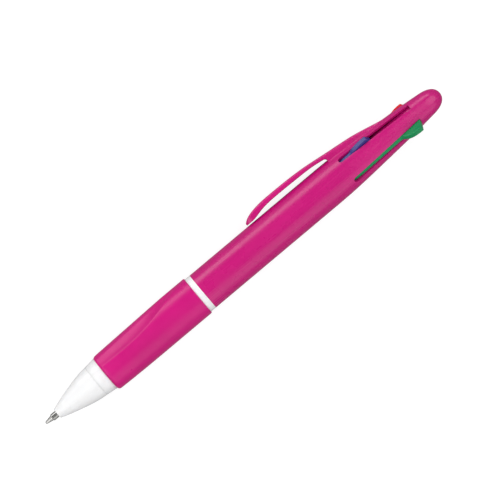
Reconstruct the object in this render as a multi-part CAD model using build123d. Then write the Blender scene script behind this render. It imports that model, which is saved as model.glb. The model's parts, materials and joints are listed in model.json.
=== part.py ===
"""A four-colour click pen, with its blue refill pushed out and the other three drawn in.

Stations along the pen are measured in millimetres from the front face of the nose cone, towards the
tail. While a piece is built, the pen's axis is X, the clip points along +Y and +Z is at right angles to
both. place() then moves the finished pieces to the part's own frame: the pen lies with its grip on Z = 0,
and the origin is under the middle of its box.
"""
from build123d import *
import math
import os

os.makedirs("parts", exist_ok=True)

# Driving dimensions
TAIL_END = 140.8          # end of the domed tail
POINT_REACH = 4.2         # how far a pushed-out point stands in front of the nose
TRAVEL = 14.1             # how far a slider moves
BARREL_R = 5.85
GRIP_R = 6.25
CLIP_REACH = 8.96         # the clip's outermost height above the axis
WALL = 1.1
THIN_WALL = 0.8           # beside the sliders

# Stations along the pen
COLLAR_START = 14.25      # seam between nose cone and lower barrel
GRIP_START = 17.7
RING_START = 51.8
RING_END = 53.6
SPIGOT_END = 59.3         # end of the lower barrel's tail, inside the upper barrel
SEAT_START = 59.5
SEAT_END = 61.0
WIDE_START = 91.0         # where the bore widens, so that the sliders can sit near the surface
TAPER_START = 100.0
TAPER_LEAN = (1, -0.105)  # the outline's direction at the end of the barrel's taper
SLOT_START = 106.3
CAP_START = 131.5         # seam between upper barrel and end cap, and end of the slots
CAP_R = 4.02              # at the seam

# The clip's cross-sections: station, height above the axis, half width of its back, and edge rounding
CLIP_SECTIONS = [
    (75.1, 6.75, 1.0, 0.25),
    (76.2, 7.6, 1.85, 0.5),
    (79.0, 8.5, 2.15, 0.7),
    (86.5, 8.95, 2.2, 0.7),
    (97.0, 8.6, 2.25, 0.7),
    (106.5, 7.5, 2.2, 0.75),
    (114.0, 6.58, 1.95, 0.7),
    (119.5, 5.45, 1.6, 0.6),
    (124.0, 4.55, 1.2, 0.3),
    (127.0, 4.2, 1.0, 0.2),
]
CLIP_FOOT = 3.4           # height above the axis where each section ends, inside the barrel
CLIP_SPREAD = 0.35        # how much wider a section is at its foot, each side
CLIP_ROOT_ROUNDING = 0.5
CLIP_EDGE_ROUNDING = 0.2  # along the two inner edges, beside the gap

# The finger scoops: station, angle of the scoop's middle from the clip's direction, and depth there
SCOOP_SECTIONS = [
    (14, 52, 0.65),
    (24, 52, 0.65),
    (31, 50, 0.6),
    (36, 45, 0.5),
    (41, 36, 0.33),
    (45, 26, 0.16),
    (50, 10, -0.08),
]
SCOOP_R = 10.0            # how hollow a scoop is, across the pen

# Radii and clearances
COLLAR_R = 5.0            # the lower barrel under the grip
SOCKET_R = 4.95           # bore in the front of the upper barrel
LOWER_BORE_R = 4.1
RUNNING_GAP = 0.08
UPPER_BORE_R = BARREL_R - WALL - RUNNING_GAP
WIDE_BORE_R = BARREL_R - THIN_WALL
NOSE_BORE_R = 1.12
NOSE_SPIGOT_R = 4.35

# Refills, all alike: a point with its ball, a tube and the ink in it
TRACK_R = 2.4             # distance of each refill from the axis, inside the upper barrel
TUBE_R = 1.1
TUBE_BORE_R = 0.75
POINT_R = 1.03
POINT_CONE = 2.3          # length of the point's bare tip
POINT_FRONT = 12.0        # from the ball to the front of the tube
POINT_PLUG = 4.0          # the part of the point inside the tube
BALL_R = 0.4
INK_LENGTH = 42.0
BEND_START = 14.0         # the pushed-out refill bends off the axis between these two stations
BEND_END = 45.0

# Sliders
NEAR_ANGLE = 52           # of the two slots beside the clip, from the clip's direction
FAR_ANGLE = 49            # of the other two, from the opposite direction
SLOT_HALF = 0.85
RAIL_OUT = 1.4            # outer face of the guide rails that line each slot, from the slot's middle
RAIL_LOW = 2.6            # the rails' inner edge, from the axis
RAIL_START = 104.5
RAIL_END = 117.0
CORE_START = 117.5        # from here on the end cap's core floors the slots
CORE_R = 3.12
BLADE_LOW = CORE_R + 0.1  # the slider's underside where it runs over the core
FLANGE_HALF = 1.0         # the flange runs under the rails and keeps the slider in
FLANGE_TOP = RAIL_LOW - 0.1
WEB_HALF = 0.64
WEB_TOP = 4.75            # the stem's outer face, which passes under the wall in front of its slot
STEM_END = CORE_START - 0.3     # the deep part of a slider stops short of the core
BLADE_HALF = 0.75
BLADE_TOP = 7.1           # the thumb blade's height above the axis
BLADE_FOOT = 4.4          # the stem's height where the blade begins
LATCHED_TOP = 6.15        # the same heights on a latched slider, which sits tilted: tail in, front out
LATCHED_FOOT = 4.85
BLADE_START = 123.6
# The blade's sloping front: station, and share of the blade's height reached there
BLADE_SLOPE = [(125.1, 0.36), (126.5, 0.72), (127.9, 0.92), (129.9, 1.0)]
SHOULDER_R = 1.4
SHOULDER_UP = 81.1        # where the spring meets a slider that is up
PEG_LENGTH = 5.0
SLIDER_END = 131.4
POST_R = 1.0

WIRE_R = 0.15
SPRING_R = 1.3
SPRING_TURNS = 12

# Name, angle about the axis from the clip, and whether it is latched forward
COLOURS = [
    ("blue", NEAR_ANGLE, True),
    ("green", 180 - FAR_ANGLE, False),
    ("red", -NEAR_ANGLE, False),
    ("black", FAR_ANGLE - 180, False),
]

# The part's frame
MIDDLE = (TAIL_END - POINT_REACH) / 2
AXIS_Y = (GRIP_R - CLIP_REACH) / 2
AXIS_Z = GRIP_R


def place(shape):
    """Moves a finished piece from the pen's axis to the part's frame."""
    return Pos(-MIDDLE, AXIS_Y, AXIS_Z) * shape


def tube(start, end, outer, inner=0.0):
    """A straight tube or rod on the axis, between two stations."""
    across = Plane(origin=(start, 0, 0), z_dir=(1, 0, 0))
    solid = extrude(across * Circle(outer), amount=end - start)
    if inner > 0:
        solid -= extrude(across * Circle(inner), amount=end - start)
    return solid


def turned(*edges):
    """A solid of revolution about the axis, from a closed outline of stations and radii."""
    return revolve(make_face(list(edges)), Axis.X)


def block(start, end, low, high, half):
    """A block in a slider's own plane: stations, distances from the axis, and half its thickness."""
    middle = ((start + end) / 2, (low + high) / 2, 0)
    return Pos(*middle) * Box(end - start, high - low, 2 * half)


def nose_cone():
    """The hollow white nose, with the hole that the point comes out of, and a spigot at its back."""
    spigot_end = COLLAR_START + 4.8
    outside = Spline((0, 1.5), (2.9, 2.5), (6.3, 3.45), (9.7, 4.3), (COLLAR_START, 4.95))
    inside = Spline((1.8, NOSE_BORE_R), (4.7, 2.05), (8.0, 3.0), (11.6, 3.75))
    rim = Polyline((COLLAR_START, 4.95), (COLLAR_START, NOSE_SPIGOT_R), (spigot_end, NOSE_SPIGOT_R),
                   (spigot_end, 3.75), (11.6, 3.75))
    mouth = Polyline((1.8, NOSE_BORE_R), (0, NOSE_BORE_R), (0, 1.5))
    cone = turned(outside, rim, inside, mouth)
    front_rims = cone.edges().filter_by(GeomType.CIRCLE).sort_by(Axis.X)[:2]
    return fillet(front_rims.sort_by(SortBy.RADIUS)[-1], 0.25)


def lower_barrel():
    """The white core tube: a collar in front of the grip, and a tail that screws into the upper barrel."""
    collar = turned(
        Line((COLLAR_START, 4.97), (GRIP_START, 5.35)),
        Polyline((GRIP_START, 5.35), (GRIP_START, LOWER_BORE_R), (COLLAR_START, LOWER_BORE_R),
                 (COLLAR_START, 4.97)),
    )
    core = tube(GRIP_START, RING_START, COLLAR_R, LOWER_BORE_R)
    tail = tube(RING_START, SPIGOT_END, SOCKET_R - RUNNING_GAP, LOWER_BORE_R)
    nose_socket = tube(COLLAR_START, COLLAR_START + 5.0, NOSE_SPIGOT_R)
    return collar + core + tail - nose_socket


def grip_body():
    """The grip sleeve before its finger scoops are cut, with a well rounded front edge."""
    front_r = 6.05
    swell_end = 43.0
    sleeve = turned(
        Polyline((GRIP_START, COLLAR_R), (GRIP_START, front_r)),
        Spline((GRIP_START, front_r), (24.4, 6.17), (31.0, 6.23), (swell_end, GRIP_R),
               tangents=[(1, 0.018), (1, 0)]),
        Polyline((swell_end, GRIP_R), (RING_START, GRIP_R), (RING_START, COLLAR_R), (GRIP_START, COLLAR_R)),
    )
    for station, rounding in ((GRIP_START, 0.9), (RING_START, 0.3)):
        circles = sleeve.edges().filter_by(GeomType.CIRCLE)
        rims = circles.filter_by_position(Axis.X, station - 0.1, station + 0.1)
        sleeve = fillet(rims.sort_by(SortBy.RADIUS)[-1], rounding)
    return sleeve


def finger_flat():
    """The leaning cylinder that bounds the grip: it takes a little off the clip's side, towards the nose."""
    flat_r = 6.43
    front_height = 5.66
    flat_end = 43.0
    length = 60
    front = (GRIP_START, front_height - flat_r, 0)
    lean = (flat_end - GRIP_START, GRIP_R - front_height, 0)
    return extrude(Plane(origin=front, z_dir=lean) * Circle(flat_r), amount=length, both=True)


def scoop(side):
    """The cutter of one finger scoop: a wide shallow hollow from the front edge, which curls to the clip."""
    half = 4.0
    sections = []
    for station, angle, depth in SCOOP_SECTIONS:
        bottom = GRIP_R - depth
        shoulder = bottom + SCOOP_R - math.sqrt(SCOOP_R ** 2 - half ** 2)
        top = shoulder + 3.0
        face = make_face([
            ThreePointArc((shoulder, -half), (bottom, 0), (shoulder, half)),
            Polyline((shoulder, half), (top, half), (top, -half), (shoulder, -half)),
        ])
        across = Plane(origin=(station, 0, 0), x_dir=(0, 1, 0), z_dir=(1, 0, 0))
        sections.append(across * Rot(Z=angle * side) * face)
    return loft(sections)


def grip_sleeve():
    """The soft sleeve round the lower barrel, flatter under the clip, with a finger scoop on each side."""
    sleeve = grip_body() & finger_flat()
    for side in (1, -1):
        sleeve -= scoop(side)
    return sleeve


def barrel_outline(offset):
    """The upper barrel's outline from its straight part to the end cap, moved in by offset."""
    return [(TAPER_START, BARREL_R - offset), (108.5, 5.6 - offset), (116.0, 5.15 - offset),
            (124.8, 4.58 - offset), (CAP_START, CAP_R - offset)]


def clip_section(station, high, half, rounding):
    """One cross-section of the clip: a flat back with rounded edges, and sides that spread to the barrel."""
    spread = half + CLIP_SPREAD
    corners = [(CLIP_FOOT, -spread), (high, -half), (high, half), (CLIP_FOOT, spread)]
    face = make_face(Polyline(*corners, close=True))
    back_corners = face.vertices().sort_by(Axis.X)[-2:]
    across = Plane(origin=(station, 0, 0), x_dir=(0, 1, 0), z_dir=(1, 0, 0))
    return across * fillet(back_corners, rounding)


def clip():
    """The clip: a bowed blade, free at its toe, whose back flows into the barrel behind the gap."""
    blade = loft([clip_section(*section) for section in CLIP_SECTIONS])
    floor = 3.0
    underside = Spline((77.4, 6.2), (81.0, 6.95), (87.0, 7.38), (96.0, 7.25), (103.6, 6.55),
                       tangents=[(1, 0.1), (1, -0.18)])
    gap = make_face([
        Polyline((70.0, 6.2), (77.4, 6.2)),
        underside,
        TangentArc((103.6, 6.55), (104.2, 5.95), tangent=(1, -0.18)),
        Polyline((104.2, 5.95), (104.2, floor), (70.0, floor), (70.0, 6.2)),
    ])
    return blade - extrude(gap, amount=6, both=True)


def on_clip_root(edge):
    """Whether an edge is one of the two long ones where the clip's sides meet the barrel."""
    middle = edge.center()
    return edge.length > 5 and 103.5 < middle.X < 127.5 and middle.Y > 3 and abs(middle.Z) > 0.5


def on_clip_underside(edge):
    """Whether an edge is one of the two long ones of the clip's face beside the gap."""
    middle = edge.center()
    return edge.length > 20 and 6.5 < middle.Y < 7.5 and abs(middle.Z) > 1


def slot():
    """The cutter of one slot: rounded in front, open towards the end cap."""
    cutter = block(SLOT_START + SLOT_HALF, CAP_START + 1, 1.0, 8.0, SLOT_HALF)
    return cutter + Pos(SLOT_START + SLOT_HALF, 4.5, 0) * Rot(X=90) * Cylinder(SLOT_HALF, 7.0)


def guide_rails():
    """The two rails under one slot's edges, not yet cut off at the barrel's wall."""
    both = block(RAIL_START, RAIL_END, RAIL_LOW, BARREL_R, RAIL_OUT)
    return both - block(RAIL_START, RAIL_END, RAIL_LOW, BARREL_R, SLOT_HALF)


def upper_barrel():
    """The upper barrel and its clip, moulded in one, with four slots and a socket at the front."""
    straight = tube(RING_END, TAPER_START, BARREL_R)
    outline = barrel_outline(0)
    taper = turned(
        Spline(outline, tangents=[(1, 0), TAPER_LEAN]),
        Polyline(outline[-1], (CAP_START, 0), (TAPER_START, 0), outline[0]),
    )
    body = straight + taper + clip()
    body = fillet(body.edges().filter_by(on_clip_root), CLIP_ROOT_ROUNDING)
    body = fillet(body.edges().filter_by(on_clip_underside), CLIP_EDGE_ROUNDING)
    inside = barrel_outline(THIN_WALL)
    hollow = tube(RING_END - 1, SEAT_END, SOCKET_R) + tube(SEAT_END, WIDE_START, UPPER_BORE_R)
    hollow += tube(WIDE_START, TAPER_START, WIDE_BORE_R)
    taper_hollow = turned(
        Spline(inside, tangents=[(1, 0), TAPER_LEAN]),
        Polyline(inside[-1], (CAP_START, 0), (TAPER_START, 0), inside[0]),
    )
    body -= hollow + taper_hollow
    for _, angle, _ in COLOURS:
        body += (Rot(X=angle) * guide_rails()) & taper_hollow
        body -= Rot(X=angle) * slot()
    return body


def end_cap():
    """The domed cap that closes the slots, with a core that floors them and a post between the stems."""
    dome = turned(
        Spline((CAP_START, CAP_R), (135.0, 3.68), (138.4, 3.04), (TAIL_END, 0),
               tangents=[TAPER_LEAN, (0, -1)]),
        Polyline((TAIL_END, 0), (CAP_START, 0), (CAP_START, CAP_R)),
    )
    return dome + tube(CORE_START, CAP_START, CORE_R) + tube(100.0, CORE_START, POST_R)


def spring_seat():
    """The disc that the four springs stand on, with a hole for each refill and one in the middle."""
    disc = tube(SEAT_START, SEAT_END, SOCKET_R, 0.6)
    hole = Pos(0, TRACK_R, 0) * tube(SEAT_START, SEAT_END, TUBE_R + RUNNING_GAP)
    for _, angle, _ in COLOURS:
        disc -= Rot(X=angle) * hole
    return disc


def slider_outline(blade_foot, blade_top):
    """A slider's side view: a stem that follows the barrel's inside, and a blade with a sloping front."""
    foot = (BLADE_START, blade_foot)
    slope = [(station, blade_foot + share * (blade_top - blade_foot)) for station, share in BLADE_SLOPE]
    return [
        Polyline((94.0, 1.3), (94.0, 4.4), (104.0, 4.45)),
        Spline((104.0, 4.45), (107.0, WEB_TOP), (112.0, WEB_TOP), (118.5, 4.55), foot,
               tangents=[(1, 0.02), (1, -0.01)]),
        Spline(foot, *slope, tangents=[(1, 0), (1, 0.03)]),
        Polyline(slope[-1], (130.4, blade_top - 0.06), (SLIDER_END, 4.3), (SLIDER_END, BLADE_LOW),
                 (STEM_END, BLADE_LOW), (STEM_END, 1.3), (94.0, 1.3)),
    ]


def on_blade_top(edge):
    """Whether an edge is one of those round the outer part of a slider's blade."""
    middle = edge.center()
    return middle.Y > 4.45 and abs(middle.Z) > BLADE_HALF / 2


def slider(blade_foot, blade_top):
    """A slider: a peg for the refill, a shoulder for the spring, a thin stem, a flange and a thumb blade."""
    peg = tube(SHOULDER_UP - PEG_LENGTH, SHOULDER_UP, TUBE_BORE_R - 0.01)
    rod = tube(SHOULDER_UP, 99.0, SHOULDER_R)
    lower = Pos(0, TRACK_R, 0) * (peg + rod)
    profile = make_face(slider_outline(blade_foot, blade_top))
    stem = extrude(profile, amount=WEB_HALF, both=True)
    flange = block(97.0, STEM_END, 1.9, FLANGE_TOP, FLANGE_HALF)
    blade = extrude(profile, amount=BLADE_HALF, both=True)
    blade &= block(BLADE_START, SLIDER_END, BLADE_FOOT - 0.4, BLADE_TOP + 1, BLADE_HALF)
    blade = fillet(blade.edges().filter_by(on_blade_top), 0.22)
    return lower + stem + flange + blade


def bent_rod(start, end, rod_r):
    """A rod along the pushed-out refill's line: from the axis over to its track, in two equal arcs."""
    middle = ((BEND_START + BEND_END) / 2, TRACK_R / 2)
    lean = 2 * math.atan(TRACK_R / (BEND_END - BEND_START))
    runs = [
        TangentArc((BEND_START, 0), middle, tangent=(1, 0)),
        TangentArc(middle, (BEND_END, TRACK_R), tangent=(math.cos(lean), math.sin(lean))),
        Line((BEND_END, TRACK_R), (end, TRACK_R)),
    ]
    if start < BEND_START:
        runs.insert(0, Line((start, 0), (BEND_START, 0)))
    section = Plane(origin=(start, 0, 0), z_dir=(1, 0, 0)) * Circle(rod_r)
    return sweep(section, path=Wire(runs))


def refill_point(tip):
    """A metal point on the axis: bare cone, body, and a plug in the tube; its ball is taken out of it."""
    cone_end = tip + POINT_CONE
    front_end = tip + POINT_FRONT
    outline = turned(
        Polyline((tip + 0.25, 0), (tip + 0.25, 0.42), (cone_end, 0.78), (cone_end + 0.15, POINT_R),
                 (front_end, POINT_R), (front_end, TUBE_BORE_R), (front_end + POINT_PLUG, TUBE_BORE_R),
                 (front_end + POINT_PLUG, 0.3), (tip + 1.2, 0.3), (tip + 1.2, 0), (tip + 0.25, 0)),
    )
    return outline - ball(tip)


def ball(tip):
    """The writing ball."""
    return Pos(tip + BALL_R, 0, 0) * Sphere(BALL_R)


def spring(length):
    """A return spring that stands on the seat, round its refill."""
    height = length - 2 * WIRE_R
    start = SEAT_END + WIRE_R
    helix = Helix(pitch=height / SPRING_TURNS, height=height, radius=SPRING_R,
                  center=(start, TRACK_R, 0), direction=(1, 0, 0))
    section = Plane(origin=helix @ 0, z_dir=helix % 0) * Circle(WIRE_R)
    return sweep(section, path=helix, is_frenet=True)


def refill(latched):
    """The tube, ink, point and ball of one refill, in its slider's plane."""
    shift = 0 if latched else TRAVEL
    tip = shift - POINT_REACH
    tube_start = tip + POINT_FRONT
    tube_end = SHOULDER_UP - TRAVEL + shift
    ink_start = tube_start + POINT_PLUG
    ink_end = ink_start + INK_LENGTH
    if latched:
        sleeve = bent_rod(tube_start, tube_end, TUBE_R) - bent_rod(tube_start, tube_end, TUBE_BORE_R)
        ink = bent_rod(ink_start, ink_end, TUBE_BORE_R)
        point = refill_point(tip)
        sphere = ball(tip)
    else:
        track = Pos(0, TRACK_R, 0)
        sleeve = track * tube(tube_start, tube_end, TUBE_R, TUBE_BORE_R)
        ink = track * tube(ink_start, ink_end, TUBE_BORE_R)
        point = track * refill_point(tip)
        sphere = track * ball(tip)
    return {"refill_tube": sleeve, "ink_column": ink, "refill_point": point, "writing_ball": sphere}


def all_nodes():
    """Every piece of the pen, by name, in the part's frame."""
    nodes = {
        "nose_cone": nose_cone(),
        "lower_barrel": lower_barrel(),
        "grip_sleeve": grip_sleeve(),
        "trim_ring": tube(RING_START, RING_END, BARREL_R, SOCKET_R),
        "upper_barrel": upper_barrel(),
        "end_cap": end_cap(),
        "spring_seat": spring_seat(),
    }
    for colour, angle, latched in COLOURS:
        turn = Rot(X=angle)
        forward = TRAVEL if latched else 0
        blade = slider(LATCHED_FOOT, LATCHED_TOP) if latched else slider(BLADE_FOOT, BLADE_TOP)
        nodes[f"slider_{colour}"] = turn * Pos(-forward, 0, 0) * blade
        nodes[f"return_spring_{colour}"] = turn * spring(SHOULDER_UP - forward - SEAT_END)
        for name, piece in refill(latched).items():
            nodes[f"{name}_{colour}"] = turn * piece
    return {name: place(piece) for name, piece in nodes.items()}


for node, piece in all_nodes().items():
    export_step(piece, f"parts/{node}.step")
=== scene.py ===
"""The looks of the multicolour click pen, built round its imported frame. Everything is in metres."""
import json
import math

import bpy
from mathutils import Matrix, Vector


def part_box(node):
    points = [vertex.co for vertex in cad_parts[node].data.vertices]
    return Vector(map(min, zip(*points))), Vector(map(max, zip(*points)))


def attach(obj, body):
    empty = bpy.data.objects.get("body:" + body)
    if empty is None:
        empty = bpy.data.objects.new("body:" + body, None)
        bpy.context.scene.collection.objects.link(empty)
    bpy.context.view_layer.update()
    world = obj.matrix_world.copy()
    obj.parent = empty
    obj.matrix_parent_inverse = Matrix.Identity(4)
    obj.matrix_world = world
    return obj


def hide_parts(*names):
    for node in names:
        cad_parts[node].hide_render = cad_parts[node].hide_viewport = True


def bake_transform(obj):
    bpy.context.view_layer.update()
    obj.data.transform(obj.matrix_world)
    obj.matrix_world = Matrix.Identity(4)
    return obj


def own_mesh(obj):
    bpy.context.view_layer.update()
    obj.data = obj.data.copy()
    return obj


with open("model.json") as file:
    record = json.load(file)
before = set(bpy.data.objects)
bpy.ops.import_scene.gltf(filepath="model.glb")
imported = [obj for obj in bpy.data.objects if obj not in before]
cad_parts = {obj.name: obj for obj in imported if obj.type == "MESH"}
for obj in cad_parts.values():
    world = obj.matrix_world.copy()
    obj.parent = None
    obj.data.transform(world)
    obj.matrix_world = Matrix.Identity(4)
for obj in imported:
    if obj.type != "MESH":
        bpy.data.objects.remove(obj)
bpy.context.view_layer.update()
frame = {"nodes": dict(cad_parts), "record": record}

MM = 0.001
COLOURS = ("blue", "green", "red", "black")
SPARE_COLOURS = COLOURS[1:]

# The pen's axis, and the places along it, from the frame
ring_low, ring_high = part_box("trim_ring")
grip_low, grip_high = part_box("grip_sleeve")
lower_low, lower_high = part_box("lower_barrel")
seat_low, seat_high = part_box("spring_seat")
AXIS_Y = (ring_low.y + ring_high.y) / 2
AXIS_Z = (ring_low.z + ring_high.z) / 2
GRIP_R = (grip_high.z - grip_low.z) / 2

AROUND = 144              # segments round the pen


# ---------------------------------------------------------------- meshes

def on_pen(x, radius, angle):
    """A point by its place along the pen, its distance from the axis, and its angle from the clip's side."""
    return (x, AXIS_Y + radius * math.cos(angle), AXIS_Z + radius * math.sin(angle))


def new_piece(name, points, faces, material):
    """A smooth-shaded mesh object with one material."""
    mesh = bpy.data.meshes.new(name)
    mesh.from_pydata(points, [], faces)
    mesh.validate()
    mesh.shade_smooth()
    mesh.materials.append(material)
    piece = bpy.data.objects.new(name, mesh)
    bpy.context.scene.collection.objects.link(piece)
    return piece


def skin(rings, closed_loop):
    """Faces between rings of equal size. A closed loop also joins the last ring to the first."""
    size = len(rings[0])
    points = [point for ring in rings for point in ring]
    faces = []
    count = len(rings) if closed_loop else len(rings) - 1
    for row in range(count):
        here = row * size
        there = (row + 1) % len(rings) * size
        for i in range(size):
            j = (i + 1) % size
            faces.append((here + i, here + j, there + j, there + i))
    return points, faces


def lathe(name, outline, material, radius_at):
    """A closed shell round the pen's axis, from (x, radius) points. radius_at shapes the radius by angle."""
    rings = []
    for x, radius in outline:
        ring = []
        for i in range(AROUND):
            angle = 2 * math.pi * i / AROUND
            ring.append(on_pen(x, radius_at(x, radius, angle), angle))
        rings.append(ring)
    points, faces = skin(rings, closed_loop=True)
    return new_piece(name, points, faces, material)


def steps(start, end, count):
    """Evenly spaced values from start to end, both included."""
    return [start + (end - start) * i / count for i in range(count + 1)]


def smooth(t):
    """A soft step from 0 to 1."""
    t = min(max(t, 0.0), 1.0)
    return t * t * (3 - 2 * t)


def arc(centre, radius, start, end, count):
    """Points on an arc in the (x, radius) plane, with its angles in degrees."""
    angles = [math.radians(degrees) for degrees in steps(start, end, count)]
    return [(centre[0] + radius * math.cos(a), centre[1] + radius * math.sin(a)) for a in angles]


def wire(name, line, wire_r, material, sides):
    """A round wire along a line of points, with flat ends."""
    points = [Vector(p) for p in line]
    rings = []
    side = None
    for i, point in enumerate(points):
        ahead = points[min(i + 1, len(points) - 1)] - points[max(i - 1, 0)]
        ahead.normalize()
        if side is None:
            side = ahead.orthogonal().normalized()
        side = (side - ahead * side.dot(ahead)).normalized()
        other = ahead.cross(side)
        turn = [2 * math.pi * k / sides for k in range(sides)]
        rings.append([point + wire_r * (math.cos(a) * side + math.sin(a) * other) for a in turn])
    vertices, faces = skin(rings, closed_loop=False)
    last = (len(rings) - 1) * sides
    faces.append(tuple(reversed(range(sides))))
    faces.append(tuple(range(last, last + sides)))
    return new_piece(name, vertices, faces, material)


# ---------------------------------------------------------------- materials

class Shader:
    """A material with a Principled BSDF, and short ways to add nodes to it."""

    def __init__(self, name):
        self.material = bpy.data.materials.new(name)
        self.material.use_nodes = True
        self.tree = self.material.node_tree
        self.bsdf = self.tree.nodes["Principled BSDF"]
        self.place = self.node("ShaderNodeTexCoord").outputs["Object"]

    def node(self, kind, **settings):
        made = self.tree.nodes.new(kind)
        for key, value in settings.items():
            setattr(made, key, value)
        return made

    def link(self, output, target):
        self.tree.links.new(output, target)

    def set(self, **sockets):
        """Constants on the shader's own sockets, named with _ for a space."""
        for key, value in sockets.items():
            self.bsdf.inputs[key.replace("_", " ")].default_value = value

    def noise(self, scale, detail=3.0, stretch=(1, 1, 1)):
        """Noise at that many features a metre, stretched along an axis where stretch is under 1."""
        mapping = self.node("ShaderNodeMapping")
        mapping.inputs["Scale"].default_value = stretch
        self.link(self.place, mapping.inputs["Vector"])
        made = self.node("ShaderNodeTexNoise")
        made.inputs["Scale"].default_value = scale
        made.inputs["Detail"].default_value = detail
        self.link(mapping.outputs["Vector"], made.inputs["Vector"])
        return made.outputs["Fac"]

    def spread(self, value, low, high, start=0.3, end=0.7):
        """A noise value turned into one between low and high."""
        made = self.node("ShaderNodeMapRange")
        made.inputs["From Min"].default_value = start
        made.inputs["From Max"].default_value = end
        made.inputs["To Min"].default_value = low
        made.inputs["To Max"].default_value = high
        self.link(value, made.inputs["Value"])
        return made.outputs["Result"]

    def total(self, *values):
        """The sum of some values."""
        result = values[0]
        for value in values[1:]:
            made = self.node("ShaderNodeMath", operation="ADD")
            self.link(result, made.inputs[0])
            self.link(value, made.inputs[1])
            result = made.outputs[0]
        return result

    def colours(self, factor, first, second):
        """A colour between two, into the base colour."""
        mix = self.node("ShaderNodeMix", data_type="RGBA")
        mix.inputs["A"].default_value = (*first, 1)
        mix.inputs["B"].default_value = (*second, 1)
        self.link(factor, mix.inputs["Factor"])
        self.link(mix.outputs["Result"], self.bsdf.inputs["Base Color"])

    def bump(self, height, distance, corners=0.0):
        """A bump of that depth, on top of softened corners where a radius is given."""
        made = self.node("ShaderNodeBump")
        made.inputs["Distance"].default_value = distance
        self.link(height, made.inputs["Height"])
        if corners:
            bevel = self.node("ShaderNodeBevel", samples=4)
            bevel.inputs["Radius"].default_value = corners
            self.link(bevel.outputs["Normal"], made.inputs["Normal"])
        self.link(made.outputs["Normal"], self.bsdf.inputs["Normal"])


def shade(colour, factor):
    """A colour made darker or lighter."""
    return tuple(min(channel * factor, 1.0) for channel in colour)


CORNER_R = 0.12 * MM      # how softly a moulding's corners catch the light


def moulded(name, colour, roughness, drift=0.06, translucency=0.0):
    """Moulded gloss plastic: faint flow marks along the pen, orange peel, and hair scratches in the gloss."""
    s = Shader(name)
    flow = s.noise(160, 4, stretch=(0.25, 1, 1))
    s.colours(s.spread(flow, 0, 1), shade(colour, 1 - drift), shade(colour, 1 + drift))
    clouds = s.spread(s.noise(220, 5), -0.04, 0.05)
    hairs = s.spread(s.noise(2600, 2, stretch=(0.03, 1, 1)), 0, 0.10, 0.60, 0.72)
    s.link(s.total(s.spread(flow, roughness, roughness + 0.01), clouds, hairs), s.bsdf.inputs["Roughness"])
    peel = s.spread(s.noise(900, 2), 0, 1)
    fine = s.spread(s.noise(6500, 2), 0, 0.25)
    s.bump(s.total(peel, fine), 0.004 * MM, corners=CORNER_R)
    s.set(IOR=1.49, Specular_IOR_Level=0.4)
    if translucency:
        s.set(Subsurface_Weight=translucency, Subsurface_Radius=(1.0, 0.9, 0.8), Subsurface_Scale=0.6 * MM)
    return s.material


def soft_grip(name, colour):
    """Satin soft-touch rubber: an even fine grain, handled smoother in patches."""
    s = Shader(name)
    patches = s.noise(110, 4)
    s.colours(s.spread(patches, 0, 1), shade(colour, 0.95), shade(colour, 1.05))
    handled = s.spread(s.noise(75, 5), -0.06, 0.07)
    s.link(s.total(s.spread(patches, 0.30, 0.32), handled), s.bsdf.inputs["Roughness"])
    grain = s.spread(s.noise(5200, 3), 0, 1)
    swell = s.spread(s.noise(420, 2), 0, 0.8)
    s.bump(s.total(grain, swell), 0.006 * MM)
    s.set(IOR=1.5, Specular_IOR_Level=0.3)
    return s.material


def milky_tube(name):
    """Milky polypropylene, clear enough to show the ink."""
    s = Shader(name)
    streaks = s.noise(700, 3, stretch=(0.06, 1, 1))
    s.colours(s.spread(streaks, 0, 1), (0.80, 0.82, 0.80), (0.92, 0.93, 0.92))
    s.link(s.spread(streaks, 0.22, 0.34), s.bsdf.inputs["Roughness"])
    s.bump(streaks, 0.01 * MM)
    s.set(IOR=1.49, Transmission_Weight=0.7)
    return s.material


def ink(name, colour):
    """Ink paste, glossy where it wets the tube."""
    s = Shader(name)
    wet = s.noise(900, 3)
    s.colours(s.spread(wet, 0, 1), shade(colour, 0.7), shade(colour, 1.2))
    s.link(s.spread(wet, 0.08, 0.2), s.bsdf.inputs["Roughness"])
    s.bump(wet, 0.01 * MM)
    s.set(Coat_Weight=0.4, Coat_Roughness=0.05)
    return s.material


def turned_metal(name, colour, roughness):
    """Metal turned on a lathe: fine rings round the axis, and a little tarnish."""
    s = Shader(name)
    rings = s.noise(9000, 2, stretch=(1, 0.004, 0.004))
    tarnish = s.noise(1400, 4)
    s.colours(s.spread(tarnish, 0, 1), shade(colour, 0.82), shade(colour, 1.08))
    s.link(s.spread(s.total(rings, tarnish), roughness - 0.07, roughness + 0.1, 0.7, 1.3),
           s.bsdf.inputs["Roughness"])
    s.bump(rings, 0.006 * MM)
    s.set(Metallic=1.0)
    return s.material


def drawn_wire(name):
    """Spring wire, with the die's fine lines and a trace of oil."""
    s = Shader(name)
    lines = s.noise(5000, 3)
    s.colours(s.spread(lines, 0, 1), (0.42, 0.43, 0.45), (0.66, 0.67, 0.70))
    s.link(s.spread(lines, 0.2, 0.38), s.bsdf.inputs["Roughness"])
    s.bump(lines, 0.004 * MM)
    s.set(Metallic=1.0, Coat_Weight=0.2, Coat_Roughness=0.2)
    return s.material


MAGENTA = (0.53, 0.0055, 0.170)
GRIP_MAGENTA = (0.57, 0.0045, 0.182)
WHITE = (0.85, 0.85, 0.855)
NICKEL_SILVER = (0.45, 0.445, 0.43)
CARBIDE = (0.36, 0.36, 0.38)
INK_SHADE = 0.6           # an ink's brightness, as a share of its slider's
SLIDER_COLOURS = {
    "blue": (0.030, 0.028, 0.20),
    "green": (0.0, 0.24, 0.075),
    "red": (0.75, 0.006, 0.022),
    "black": (0.012, 0.012, 0.014),
}

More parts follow.
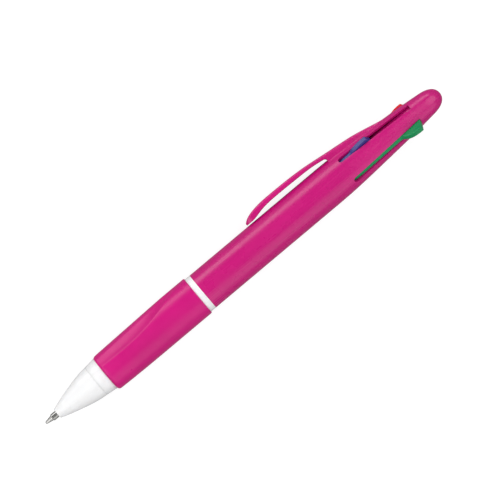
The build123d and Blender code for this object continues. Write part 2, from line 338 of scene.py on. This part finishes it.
materials = {
    "barrel_plastic": moulded("barrel_plastic", MAGENTA, 0.26),
    "grip_rubber": soft_grip("grip_rubber", GRIP_MAGENTA),
    "white_plastic": moulded("white_plastic", WHITE, 0.24, drift=0.012, translucency=0.12),
    "tube_plastic": milky_tube("tube_plastic"),
    "point_metal": turned_metal("point_metal", NICKEL_SILVER, 0.24),
    "ball_carbide": turned_metal("ball_carbide", CARBIDE, 0.14),
    "spring_steel": drawn_wire("spring_steel"),
}
for colour, value in SLIDER_COLOURS.items():
    materials[f"slider_{colour}"] = moulded(f"slider_{colour}", value, 0.25)
    materials[f"ink_{colour}"] = ink(f"ink_{colour}", shade(value, INK_SHADE))

for subpart in frame["record"]["subparts"]:
    node = frame["nodes"][subpart["node"]]
    node.data.materials.clear()
    node.data.materials.append(materials[subpart["material_slot"]])


# ---------------------------------------------------------------- lower section

GRIP_BORE = 5.0 * MM
GRIP_FRONT_R = 6.05 * MM
GRIP_EDGE = 0.9 * MM      # rounding of the front edge
GRIP_BACK_EDGE = 0.3 * MM     # rounding of the back edge
GRIP_RINGS = 100          # even rings between the two rounded edges
EDGE_GAP = 0.4 * MM       # from a rounded edge to the first even ring
GRIP_SWELL = 13.3 * MM    # from the front edge to where the grip is thickest
# The leaning cylinder that takes a little off the clip's side of the grip, towards the nose
FLAT_R = 6.43 * MM
FLAT_HEIGHT = 5.66 * MM   # the flattened side's distance from the axis, at the front edge
FLAT_LENGTH = 25.3 * MM   # from the front edge to where the flattening has run out
# The finger scoops: millimetres behind the front edge, degrees from the clip's side to the scoop's middle,
# and the depth there in millimetres. A depth under zero is where a scoop has run out.
SCOOP_ROUTE = [
    (-3.7, 52, 0.65),
    (6.3, 52, 0.65),
    (13.3, 50, 0.6),
    (18.3, 45, 0.5),
    (23.3, 36, 0.33),
    (27.3, 26, 0.16),
    (32.3, 10, -0.08),
]
SCOOP_R = 10.0 * MM       # how hollow a scoop is, across the pen
SCOOP_HALF = math.radians(35)      # no scoop reaches further than this from its middle
CREASE = 0.05 * MM        # how much the scoops' edges are softened


def along_route(distance):
    """A scoop's angle in radians and its depth, at a distance behind the grip's front edge."""
    route = [(place * MM, math.radians(angle), depth * MM) for place, angle, depth in SCOOP_ROUTE]
    last = len(route) - 2
    span = next((i for i in range(last) if distance <= route[i + 1][0]), last)
    t = min((distance - route[span][0]) / (route[span + 1][0] - route[span][0]), 1.0)

    def curve(column):
        """A smooth curve through one column of the route."""
        here, there = route[span][column], route[span + 1][column]
        before = route[max(span - 1, 0)][column]
        after = route[min(span + 2, len(route) - 1)][column]
        rise_here, rise_there = (there - before) / 2, (after - here) / 2
        return (here * (2 * t ** 3 - 3 * t ** 2 + 1) + there * (3 * t ** 2 - 2 * t ** 3)
                + rise_here * (t ** 3 - 2 * t ** 2 + t) + rise_there * (t ** 3 - t ** 2))

    return curve(1), curve(2)


def scoop_depth(distance, angle, outside):
    """How much of an outside radius a scoop takes off, with its edges softened."""
    middle, depth = along_route(distance)
    away = min(angle, 2 * math.pi - angle) - middle
    centre = GRIP_R - depth + SCOOP_R
    if abs(away) > SCOOP_HALF:
        return 0.0
    reach = centre * math.cos(away) - math.sqrt(SCOOP_R ** 2 - (centre * math.sin(away)) ** 2)
    cut = outside - reach
    return (cut + math.sqrt(cut ** 2 + CREASE ** 2)) / 2


def flat_depth(distance, angle, outside):
    """How much of an outside radius the leaning cylinder takes off."""
    centre = FLAT_HEIGHT - FLAT_R + (GRIP_R - FLAT_HEIGHT) * distance / FLAT_LENGTH
    reach = centre * math.cos(angle) + math.sqrt(FLAT_R ** 2 - (centre * math.sin(angle)) ** 2)
    return max(outside - reach, 0.0)


def grip_outside(x):
    """The grip's outside radius before it is flattened and scooped: it rises ever more gently."""
    swell = smooth(0.5 + 0.5 * (x - grip_low.x) / GRIP_SWELL) * 2 - 1
    return GRIP_FRONT_R + (GRIP_R - GRIP_FRONT_R) * swell


def grip_shape(x, radius, angle):
    """The grip's radius at a point of its outline: full depth on the outside, none at the bore."""
    distance = x - grip_low.x
    outside = grip_outside(x)
    flat = flat_depth(distance, angle, outside)
    depth = flat + scoop_depth(distance, angle, outside - flat)
    return radius - depth * smooth((radius - GRIP_BORE) / (outside - GRIP_BORE))


def make_grip():
    """The soft sleeve: rounded at both ends, thinner in front, flatter under the clip, and scooped."""
    start, end = grip_low.x, grip_high.x
    front_turn = start + GRIP_EDGE
    back_turn = end - GRIP_BACK_EDGE
    outline = arc((front_turn, GRIP_FRONT_R - GRIP_EDGE), GRIP_EDGE, 180, 90, 10)
    outline += [(x, grip_outside(x)) for x in steps(front_turn + EDGE_GAP, back_turn - EDGE_GAP, GRIP_RINGS)]
    outline += arc((back_turn, GRIP_R - GRIP_BACK_EDGE), GRIP_BACK_EDGE, 90, 0, 6)
    outline += [(end, GRIP_BORE), (start, GRIP_BORE)]
    grip = lathe("grip_sleeve_soft", outline, materials["grip_rubber"], radius_at=grip_shape)
    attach(grip, "lower_section")
    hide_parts("grip_sleeve")


COLLAR_FRONT_R = 4.97 * MM
COLLAR_BACK_R = 5.35 * MM
COLLAR_SLOPE = 0.1        # how steeply the collar widens at its back edge
BARREL_BORE = 4.1 * MM
SOCKET_BORE = 4.35 * MM   # where the nose cone's spigot goes in
SOCKET_DEPTH = 5.0 * MM
TAIL_GAP = 0.08 * MM      # between the tail and the upper barrel's bore, which the spring seat fills
BARREL_EDGE = 0.12 * MM
THREAD_PITCH = 1.25 * MM
THREAD_DEPTH = 0.34 * MM
THREAD_RINGS = 72
THREAD_INSET = 0.5 * MM   # plain tail in front of the thread and behind it
THREAD_FADE = 0.8 * MM    # over this length the groove reaches its full depth
CREST_HALF = 0.12         # half the width of the thread's crest, as a share of the pitch
FLANK = 0.22              # the width of its sloped side, as a share of the pitch


def make_lower_barrel():
    """The white core tube, with its collar in front of the grip and a screw thread on its tail."""
    front, back = lower_low.x, lower_high.x
    socket_end = front + SOCKET_DEPTH
    collar_end = grip_low.x
    core_end = ring_low.x
    thread_start = ring_high.x + THREAD_INSET
    thread_end = back - THREAD_INSET
    tail = (seat_high.z - seat_low.z) / 2 - TAIL_GAP
    edge = BARREL_EDGE
    outline = [(front, SOCKET_BORE), (front, COLLAR_FRONT_R - edge), (front + edge, COLLAR_FRONT_R)]
    outline += [(collar_end - edge, COLLAR_BACK_R - edge * COLLAR_SLOPE), (collar_end, COLLAR_BACK_R - edge)]
    outline += [(collar_end, GRIP_BORE), (core_end, GRIP_BORE), (core_end, tail)]
    outline += [(x, tail) for x in steps(thread_start, thread_end, THREAD_RINGS)]
    outline += [(back - edge, tail), (back, tail - edge), (back, BARREL_BORE)]
    outline += [(socket_end, BARREL_BORE), (socket_end, SOCKET_BORE)]

    def threaded(x, radius, angle):
        """The tail's radius, cut by a helical groove that runs out softly at both ends."""
        if radius < tail - edge / 2 or not thread_start <= x <= thread_end:
            return radius
        phase = (x / THREAD_PITCH + angle / (2 * math.pi)) % 1.0
        groove = smooth((abs(phase - 0.5) - CREST_HALF) / FLANK)
        fade = smooth((x - thread_start) / THREAD_FADE) * smooth((thread_end - x) / THREAD_FADE)
        return radius - THREAD_DEPTH * groove * fade

    barrel = lathe("lower_barrel_threaded", outline, materials["white_plastic"], radius_at=threaded)
    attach(barrel, "lower_section")
    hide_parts("lower_barrel")


make_grip()
make_lower_barrel()


# ---------------------------------------------------------------- springs, and the refills that are drawn in

SPRING_TURNS = 12
DEAD_TURNS = 1.5          # closed turns at each end
SPRING_R = 1.3 * MM
WIRE_R = 0.15 * MM
WIRE_SIDES = 12
POINTS_A_TURN = 36
TUBE_SIDES = 40
INK_SIDES = 32
TUBE_EDGE = 0.08 * MM
BEND_RINGS = 40           # rings along a flexible tube
RING_INSET = 1 * MM       # from a tube's end to the first of them


def make_spring(colour):
    """A return spring with closed ends, round its refill."""
    low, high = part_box(f"return_spring_{colour}")
    middle_y = (low.y + high.y) / 2
    middle_z = (low.z + high.z) / 2
    start = low.x + WIRE_R
    wire_d = 2 * WIRE_R
    length = high.x - low.x - wire_d
    dead_rise = DEAD_TURNS * wire_d
    open_rise = length - 2 * dead_rise
    open_turns = SPRING_TURNS - 2 * DEAD_TURNS
    line = []
    for turn in steps(0, SPRING_TURNS, SPRING_TURNS * POINTS_A_TURN):
        if turn < DEAD_TURNS:
            rise = turn * wire_d
        elif turn > SPRING_TURNS - DEAD_TURNS:
            rise = length - (SPRING_TURNS - turn) * wire_d
        else:
            rise = dead_rise + open_rise * (turn - DEAD_TURNS) / open_turns
        angle = 2 * math.pi * turn
        across, up = SPRING_R * math.cos(angle), SPRING_R * math.sin(angle)
        line.append((start + rise, middle_y + across, middle_z + up))
    spring = wire(f"spring_{colour}", line, WIRE_R, materials["spring_steel"], WIRE_SIDES)
    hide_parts(f"return_spring_{colour}")
    if colour in SPARE_COLOURS:
        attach(spring, "upper_section")
        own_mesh(spring)
    else:
        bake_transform(spring)


def make_spare_refill(colour):
    """The flexible tube and ink of a drawn-in refill."""
    tube_low, tube_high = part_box(f"refill_tube_{colour}")
    ink_low, ink_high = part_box(f"ink_column_{colour}")
    y = (tube_low.y + tube_high.y) / 2
    z = (tube_low.z + tube_high.z) / 2
    tube_r = (tube_high.z - tube_low.z) / 2
    ink_r = (ink_high.z - ink_low.z) / 2
    start, end = tube_low.x, tube_high.x
    outline = [(start, tube_r - TUBE_EDGE), (start + TUBE_EDGE, tube_r)]
    outline += [(x, tube_r) for x in steps(start + RING_INSET, end - RING_INSET, BEND_RINGS)]
    outline += [(end - TUBE_EDGE, tube_r), (end, tube_r - TUBE_EDGE), (end, ink_r)]
    outline += [(x, ink_r) for x in steps(end - RING_INSET, start + RING_INSET, BEND_RINGS)]
    outline += [(start, ink_r)]
    turn = [2 * math.pi * i / TUBE_SIDES for i in range(TUBE_SIDES)]
    rings = [[(x, y + r * math.cos(a), z + r * math.sin(a)) for a in turn] for x, r in outline]
    tube = new_piece(f"flexible_tube_{colour}", *skin(rings, closed_loop=True), materials["tube_plastic"])
    line = [(x, y, z) for x in steps(ink_low.x, ink_high.x, BEND_RINGS)]
    column = wire(f"ink_{colour}", line, ink_r, materials[f"ink_{colour}"], INK_SIDES)
    for piece, node, slot in ((tube, f"refill_tube_{colour}", "tube_plastic"),
                              (column, f"ink_column_{colour}", f"ink_{colour}")):
        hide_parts(node)
        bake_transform(piece)


for colour in COLOURS:
    make_spring(colour)
for colour in SPARE_COLOURS:
    make_spare_refill(colour)


# ---------------------------------------------------------------- floor, light and camera

FLOOR_HALF = 3.0
FLOOR_GLOW = 0.82         # the floor's own light, for the camera only
SKY_HORIZON = 0.45        # the sky's strength below SKY_DIM_START
SKY_TOP = 0.15            # the sky's strength above SKY_DIM_END
SKY_DIM_START = 0.15      # both heights are sines of the elevation
SKY_DIM_END = 0.85
LAMP_DISTANCE = 0.7
VIEW_TURN = math.radians(-40)      # the pen lies at 40 degrees in the view
VIEW_CENTRE = (3.0 * MM, -0.94 * MM)
VIEW_SPAN = 141 * MM
VIEW_DISTANCE = 1.4


def make_floor():
    """A seamless floor: it looks white to the camera, and throws only a little light back on the pen."""
    signs = ((-1, -1), (1, -1), (1, 1), (-1, 1))
    corners = [(across * FLOOR_HALF, along * FLOOR_HALF, 0) for across, along in signs]
    s = Shader("white_floor")
    tone = s.noise(3, 3)
    s.colours(s.spread(tone, 0, 1), (0.24, 0.24, 0.24), (0.26, 0.26, 0.26))
    s.link(s.spread(tone, 0.75, 0.8), s.bsdf.inputs["Roughness"])
    s.set(Specular_IOR_Level=0.1)
    seen = s.node("ShaderNodeMath", operation="MULTIPLY")
    s.link(s.node("ShaderNodeLightPath").outputs["Is Camera Ray"], seen.inputs[0])
    seen.inputs[1].default_value = FLOOR_GLOW
    s.set(Emission_Color=(1, 1, 1, 1))
    s.link(seen.outputs[0], s.bsdf.inputs["Emission Strength"])
    new_piece("floor", corners, [(0, 1, 2, 3)], s.material)


def make_sky():
    """A white studio: bright towards the horizon, dim straight above."""
    world = bpy.data.worlds.new("studio")
    world.use_nodes = True
    bpy.context.scene.world = world
    tree = world.node_tree
    place = tree.nodes.new("ShaderNodeTexCoord")
    parts = tree.nodes.new("ShaderNodeSeparateXYZ")
    ramp = tree.nodes.new("ShaderNodeMapRange")
    ramp.interpolation_type = "SMOOTHSTEP"
    ramp.inputs["From Min"].default_value = SKY_DIM_START
    ramp.inputs["From Max"].default_value = SKY_DIM_END
    ramp.inputs["To Min"].default_value = SKY_HORIZON
    ramp.inputs["To Max"].default_value = SKY_TOP
    background = tree.nodes["Background"]
    background.inputs["Color"].default_value = (1, 1, 1, 1)
    tree.links.new(place.outputs["Generated"], parts.inputs["Vector"])
    tree.links.new(parts.outputs["Z"], ramp.inputs["Value"])
    tree.links.new(ramp.outputs["Result"], background.inputs["Strength"])


def softbox(name, azimuth, elevation, width, height, radiance):
    """An area light that faces the pen's middle. Azimuth is from +X towards +Y, in degrees."""
    a, e = math.radians(azimuth), math.radians(elevation)
    direction = Vector((math.cos(a) * math.cos(e), math.sin(a) * math.cos(e), math.sin(e)))
    data = bpy.data.lights.new(name, "AREA")
    data.shape = "RECTANGLE"
    data.size = width
    data.size_y = height
    data.energy = radiance * math.pi * width * height
    lamp = bpy.data.objects.new(name, data)
    bpy.context.scene.collection.objects.link(lamp)
    lamp.location = direction * LAMP_DISTANCE
    lamp.rotation_euler = direction.to_track_quat("Z", "Y").to_euler()
    lamp.visible_camera = False


def make_camera():
    """A long lens straight above the pen."""
    data = bpy.data.cameras.new("camera")
    data.angle = 2 * math.atan(VIEW_SPAN / 2 / VIEW_DISTANCE)
    data.clip_end = 20
    camera = bpy.data.objects.new("camera", data)
    camera.location = (*VIEW_CENTRE, VIEW_DISTANCE + AXIS_Z)
    camera.rotation_euler = (0, 0, VIEW_TURN)
    bpy.context.scene.collection.objects.link(camera)
    bpy.context.scene.camera = camera


make_floor()
make_sky()
softbox("clip_side_strip", azimuth=90, elevation=21.5, width=1.0, height=0.3, radiance=3.0)
softbox("far_side_box", azimuth=-90, elevation=32, width=1.0, height=0.62, radiance=0.95)
for name, azimuth in (("tail_box", 0), ("nose_box", 180)):
    softbox(name, azimuth, elevation=52, width=0.7, height=0.5, radiance=2.2)
make_camera()
bpy.context.scene.view_settings.view_transform = "Standard"
